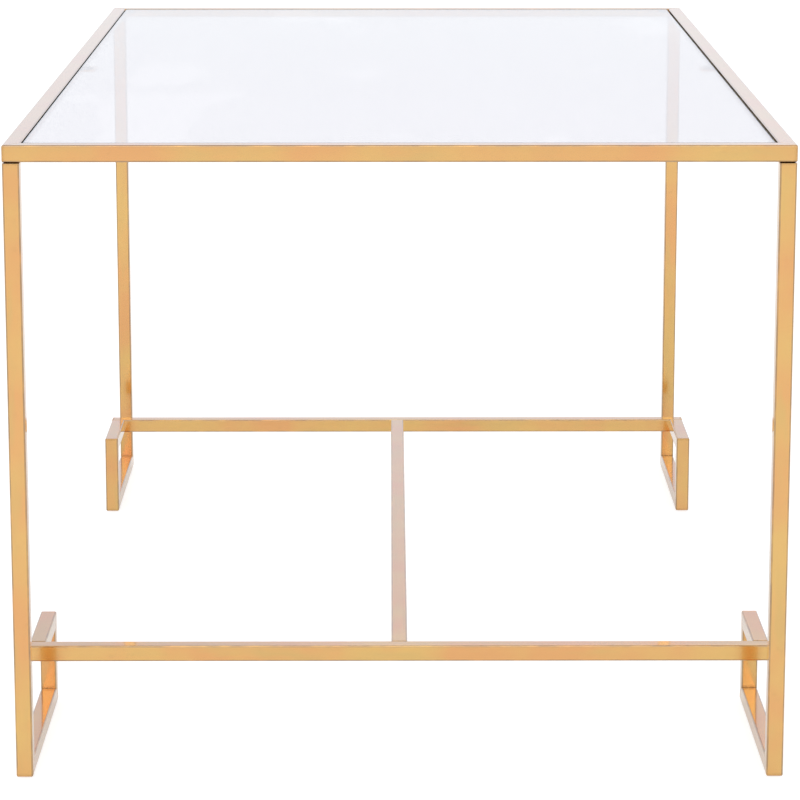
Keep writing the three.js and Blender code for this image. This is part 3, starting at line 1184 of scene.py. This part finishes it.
@dataclass
class FrameFixing:
    """The plate behind each leg's top, its screw and the rivet nut in the rail."""

    hole: float = 3.3 * MM
    hole_steps: int = 32
    round_over: float = 0.4 * MM
    round_segments: int = 2
    plate_corner: float = 1.5 * MM
    sharp: float = 60.0  # degrees over which a plate's edge is rounded
    head_height: float = 3.2 * MM
    head_flat: float = 0.62  # the flat's share of the head's radius
    head_crown: float = 0.85  # the crown's share of the head's height
    head_steps: int = 8
    shank: float = 3.0 * MM
    neck: float = 0.8 * MM
    thread_pitch: float = 1.0 * MM
    thread_depth: float = 0.45 * MM
    point: float = 0.6 * MM
    point_taper: float = 0.7 * MM
    screw_steps: int = 36
    socket: float = 2.3 * MM
    socket_depth: float = 2.0 * MM
    socket_mouth: float = 1.18  # the mouth's radius for a socket of 1
    socket_corner: float = 1.12  # the corners' radius for a socket of 1
    flange: float = 0.7 * MM
    flange_ease: float = 0.2 * MM
    bore: float = 3.3 * MM
    collar: float = 2.0 * MM  # how far the flange stands out past the sleeve
    grip: float = 2.1 * MM  # from the flange to the bulge, with the rail's wall between
    bulge: tuple[tuple[float, float], ...] = ((0.86, 0.1 * MM), (1.0, 0.7 * MM), (0.93, 1.4 * MM))
    bulge_height: float = 2.0 * MM
    sleeve_ease: float = 0.5 * MM
    nut_steps: int = 48

    def build(self, finishes: Finishes) -> None:
        """Builds the fixings of all four corners.

        Args:
            finishes: The materials.
        """
        for corner in CORNERS:
            self._plate(corner, finishes)
            self._screw(corner, finishes)
            self._nut(corner, finishes)

    def _plate(self, corner: str, finishes: Finishes) -> None:
        """Builds one plate with its screw hole.

        Args:
            corner: The corner's name.
            finishes: The materials.
        """
        node = f"leg_plate_{corner}"
        lo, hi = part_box(node)
        screw_lo, screw_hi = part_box(f"screw_{corner}")
        bm = bmesh.new()
        bmesh.ops.create_circle(bm, cap_ends=False, radius=self.hole, segments=self.hole_steps)
        place = (screw_lo + screw_hi) / 2
        bmesh.ops.translate(bm, vec=(place.x, place.y, lo.z), verts=bm.verts)
        inner = list(bm.edges)
        rim = self._outline(bm, lo, hi)
        bmesh.ops.bridge_loops(bm, edges=inner + rim)
        top = bmesh.ops.extrude_face_region(bm, geom=bm.faces[:])["geom"]
        lifted = [g for g in top if isinstance(g, bmesh.types.BMVert)]
        bmesh.ops.translate(bm, vec=(0, 0, hi.z - lo.z), verts=lifted)
        bmesh.ops.recalc_face_normals(bm, faces=bm.faces)
        limit = math.radians(self.sharp)
        around = [e for e in bm.edges if e.is_manifold and e.calc_face_angle() > limit]
        bevel(bm, [e for e in around if not upright(e)], self.round_over, self.round_segments)
        piece(f"fixing_plate_{corner}", bm, [finishes.gold[Axis.Y]], [node])

    def _outline(self, bm: bmesh.types.BMesh, lo: Vector, hi: Vector) -> list[bmesh.types.BMEdge]:
        """Adds a rectangle with rounded corners as a closed loop of edges.

        Args:
            bm: The mesh to add to.
            lo: The rectangle's lowest corner.
            hi: The rectangle's highest corner.

        Returns:
            The loop's edges.
        """
        radius = self.plate_corner
        steps = self.hole_steps // 4 - 1  # gives this loop as many points as the hole
        centres = [
            (hi.x - radius, hi.y - radius),
            (lo.x + radius, hi.y - radius),
            (lo.x + radius, lo.y + radius),
            (hi.x - radius, lo.y + radius),
        ]
        points = []
        for number, (x, y) in enumerate(centres):
            for step in range(steps + 1):
                turn = math.pi / 2 * (number + step / steps)
                where = (x + radius * math.cos(turn), y + radius * math.sin(turn), lo.z)
                points.append(bm.verts.new(where))
        return [bm.edges.new(pair) for pair in zip(points, points[1:] + points[:1])]

    def _screw(self, corner: str, finishes: Finishes) -> None:
        """Builds one button-head screw with a hexagon socket.

        Args:
            corner: The corner's name.
            finishes: The materials.
        """
        node = f"screw_{corner}"
        centre = axis_foot(node)
        bm = turned(self._screw_profile(node), centre, self.screw_steps)
        mouth = [e for e in bm.edges if e.is_boundary]
        radius = self.socket * self.socket_corner
        hexagon = bmesh.ops.create_circle(bm, cap_ends=False, radius=radius, segments=6)["verts"]
        bmesh.ops.translate(bm, vec=centre, verts=hexagon)
        ring = list(dict.fromkeys(e for v in hexagon for e in v.link_edges))
        bmesh.ops.bridge_loops(bm, edges=mouth + ring)
        sunk = bmesh.ops.extrude_edge_only(bm, edges=ring)["geom"]
        floor = [g for g in sunk if isinstance(g, bmesh.types.BMVert)]
        bmesh.ops.translate(bm, vec=(0, 0, self.socket_depth), verts=floor)
        bmesh.ops.holes_fill(bm, edges=[e for e in bm.edges if e.is_boundary])
        bmesh.ops.recalc_face_normals(bm, faces=bm.faces)
        piece(f"button_screw_{corner}", bm, [finishes.zinc], [node])

    def _screw_profile(self, node: str) -> list[tuple[float, float]]:
        """The outline of a screw from its socket's mouth up to its point.

        Args:
            node: The CAD node.

        Returns:
            (radius, height) points.
        """
        lo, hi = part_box(node)
        radius, length = (hi.x - lo.x) / 2, hi.z - lo.z
        profile = [(self.socket * self.socket_mouth, 0.0)]
        for sine, cosine in quarter(self.head_steps):
            side = radius * (self.head_flat + (1.0 - self.head_flat) * sine)
            profile.append((side, self.head_height * self.head_crown * (1.0 - cosine)))
        profile += [(radius, self.head_height), (self.shank, self.head_height)]
        height = self.head_height + self.neck
        while height + self.thread_pitch < length - self.point:
            profile.append((self.shank, height))
            profile.append((self.shank - self.thread_depth, height + self.thread_pitch / 2))
            height += self.thread_pitch
        return [*profile, (self.shank, height), (self.shank - self.point_taper, length), (0.0, length)]

    def _nut(self, corner: str, finishes: Finishes) -> None:
        """Builds one crimped rivet nut.

        Args:
            corner: The corner's name.
            finishes: The materials.
        """
        node = f"rivet_nut_{corner}"
        lo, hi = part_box(node)
        wide, height = (hi.x - lo.x) / 2, hi.z - lo.z
        sleeve = wide - self.collar
        start = self.flange + self.grip
        profile = [(self.bore, 0.0), (wide - self.flange_ease, 0.0), (wide, self.flange_ease)]
        profile += [(wide, self.flange), (sleeve, self.flange), (sleeve, start)]
        profile += [(wide * share, start + rise) for share, rise in self.bulge]
        profile += [(sleeve, start + self.bulge_height), (sleeve, height - self.sleeve_ease)]
        profile += [(sleeve - self.sleeve_ease, height), (self.bore, height), (self.bore, 0.0)]
        bm = turned(profile, axis_foot(node), self.nut_steps)
        piece(f"threaded_insert_{corner}", bm, [finishes.zinc], [node])


@dataclass
class Glides:
    """The push-in nylon glides under the feet."""

    disc: float = 1.7 * MM
    disc_round: float = 0.7 * MM
    disc_ease: float = 0.2 * MM
    disc_steps: int = 6
    stem: float = 3.0 * MM
    barb: float = 0.25 * MM
    barb_start: float = 2.2 * MM  # above the disc
    barb_crest: float = 2.6 * MM
    tip: float = 0.4 * MM
    tip_shares: tuple[float, float] = (0.8, 0.6)  # of the stem, where the tip starts and ends
    steps: int = 32

    def build(self, finishes: Finishes) -> None:
        """Builds two glides to each foot.

        Args:
            finishes: The materials.
        """
        for corner in CORNERS:
            for place in ("outer", "inner"):
                self._glide(f"glide_{place}_{corner}", f"floor_glide_{place}_{corner}", finishes)

    def _glide(self, node: str, name: str, finishes: Finishes) -> None:
        """Builds one glide.

        Args:
            node: The CAD node.
            name: The piece's name.
            finishes: The materials.
        """
        lo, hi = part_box(node)
        radius, height = (hi.x - lo.x) / 2, hi.z - lo.z
        profile = [(0.0, 0.0)]
        for sine, cosine in quarter(self.disc_steps):
            side = radius - self.disc_round * (1.0 - sine)
            profile.append((side, self.disc_round * (1.0 - cosine)))
        profile += [(radius, self.disc - self.disc_ease), (radius - self.disc_ease, self.disc)]
        profile += [(self.stem, self.disc), (self.stem, self.disc + self.barb_start)]
        profile.append((self.stem + self.barb, self.disc + self.barb_crest))
        start, end = self.tip_shares
        profile += [(self.stem * start, height - self.tip), (self.stem * end, height), (0.0, height)]
        piece(name, turned(profile, axis_foot(node), self.steps), [finishes.nylon], [node])


# ---------------------------------------------------------------- studio


@dataclass(frozen=True)
class Softbox:
    """A square soft light."""

    name: str
    place: tuple[float, float, float]
    size: float  # metres along a side
    power: float  # watts

    def build(self, aim: Vector) -> None:
        """Adds the light.

        Args:
            aim: The point that it faces.
        """
        light = bpy.data.lights.new(self.name, "AREA")
        light.shape = "SQUARE"
        light.size = self.size
        light.energy = self.power
        made = bpy.data.objects.new(self.name, light)
        made.location = self.place
        made.rotation_euler = (aim - made.location).to_track_quat("-Z", "Y").to_euler()
        bpy.context.scene.collection.objects.link(made)


@dataclass
class Studio:
    """A white light table in an even, pale room."""

    floor_size: float = 40.0
    aim_height: float = 0.4
    softboxes: tuple[Softbox, ...] = (
        Softbox("front_softbox", (0.0, -5.4, 3.4), 3.6, 30.0),
        Softbox("side_softbox", (-3.2, -1.2, 2.9), 2.4, 16.0),
        Softbox("back_softbox", (0.8, 3.6, 3.0), 2.4, 12.0),
    )
    backdrop: Colour = grey(1.0)
    room: tuple[tuple[float, Colour], ...] = (  # from the horizon at 0 to straight up at 1
        (0.00, colour(0.74, 0.72, 0.74)),
        (0.06, colour(0.75, 0.75, 0.79)),
        (0.10, colour(0.91, 0.935, 0.995)),
        (0.13, colour(0.855, 0.87, 0.95)),
        (0.31, colour(0.66, 0.675, 0.85)),
        (0.46, colour(0.66, 0.66, 0.72)),
        (0.54, colour(1.35, 1.30, 1.24)),
        (0.80, colour(1.35, 1.30, 1.24)),
        (0.88, colour(0.62, 0.60, 0.58)),
        (1.00, colour(0.55, 0.54, 0.55)),
    )

    def build(self) -> None:
        """Makes the floor, the room and the softboxes."""
        self._floor()
        self._room()
        for softbox in self.softboxes:
            softbox.build(Vector((0.0, 0.0, self.aim_height)))

    def _floor(self) -> None:
        """Makes the floor."""
        bm = bmesh.new()
        bmesh.ops.create_grid(bm, x_segments=1, y_segments=1, size=self.floor_size / 2)
        mesh = bpy.data.meshes.new("studio_floor")
        bm.to_mesh(mesh)
        bm.free()
        mesh.materials.append(FloorFinish().material())
        floor = bpy.data.objects.new("studio_floor", mesh)
        bpy.context.scene.collection.objects.link(floor)

    def _room(self) -> None:
        """Sets the room by height: what the desk mirrors, and the white backdrop that the eye sees."""
        world = bpy.data.worlds.new("studio_room")
        shader = Shader(world)
        direction = shader.node("ShaderNodeTexCoord").outputs["Generated"]
        height = shader.node("ShaderNodeSeparateXYZ", inputs={0: direction}).outputs["Z"]
        tone = shader.node("ShaderNodeValToRGB", {"stops": self.room}, {"Fac": height})
        mixed = shader.mix(shader.seen(), tone.outputs["Color"], self.backdrop)
        light = shader.node("ShaderNodeBackground", inputs={"Color": mixed})
        shader.node("ShaderNodeOutputWorld", inputs={"Surface": light.outputs[0]})
        bpy.context.scene.world = world


@dataclass
class Camera:
    """A long lens in front of the short end, looking a little down."""

    place: tuple[float, float, float] = (-0.011, -4.384, 1.295)
    pitch: float = 11.08  # degrees below level
    yaw: float = -0.209  # degrees
    lens: float = 143.5  # millimetres, as is the sensor's width
    sensor: float = 36.0
    shift: tuple[float, float] = (-0.0021, -0.13)

    def build(self) -> None:
        """Makes the camera and sets it as the scene's."""
        data = bpy.data.cameras.new("camera")
        data.lens = self.lens
        data.sensor_width = self.sensor
        data.shift_x, data.shift_y = self.shift
        camera = bpy.data.objects.new("camera", data)
        camera.location = self.place
        camera.rotation_euler = (math.radians(90.0 - self.pitch), 0.0, math.radians(self.yaw))
        bpy.context.scene.collection.objects.link(camera)
        bpy.context.scene.camera = camera


def main() -> None:
    """Builds the camera, the studio and every piece."""
    logging.basicConfig(level=logging.INFO, format="%(name)s: %(message)s")
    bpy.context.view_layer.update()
    Camera().build()
    Studio().build()
    finishes = Finishes()
    parts = (
        TopFrame(), EndFrames(), Stretchers(), GlassPane(), PaneSupports(), FrameFixing(), Glides(),
    )  # fmt: skip
    for part in parts:
        part.build(finishes)
    bpy.context.scene.view_settings.view_transform = "Standard"


if __name__ == "__main__":
    main()
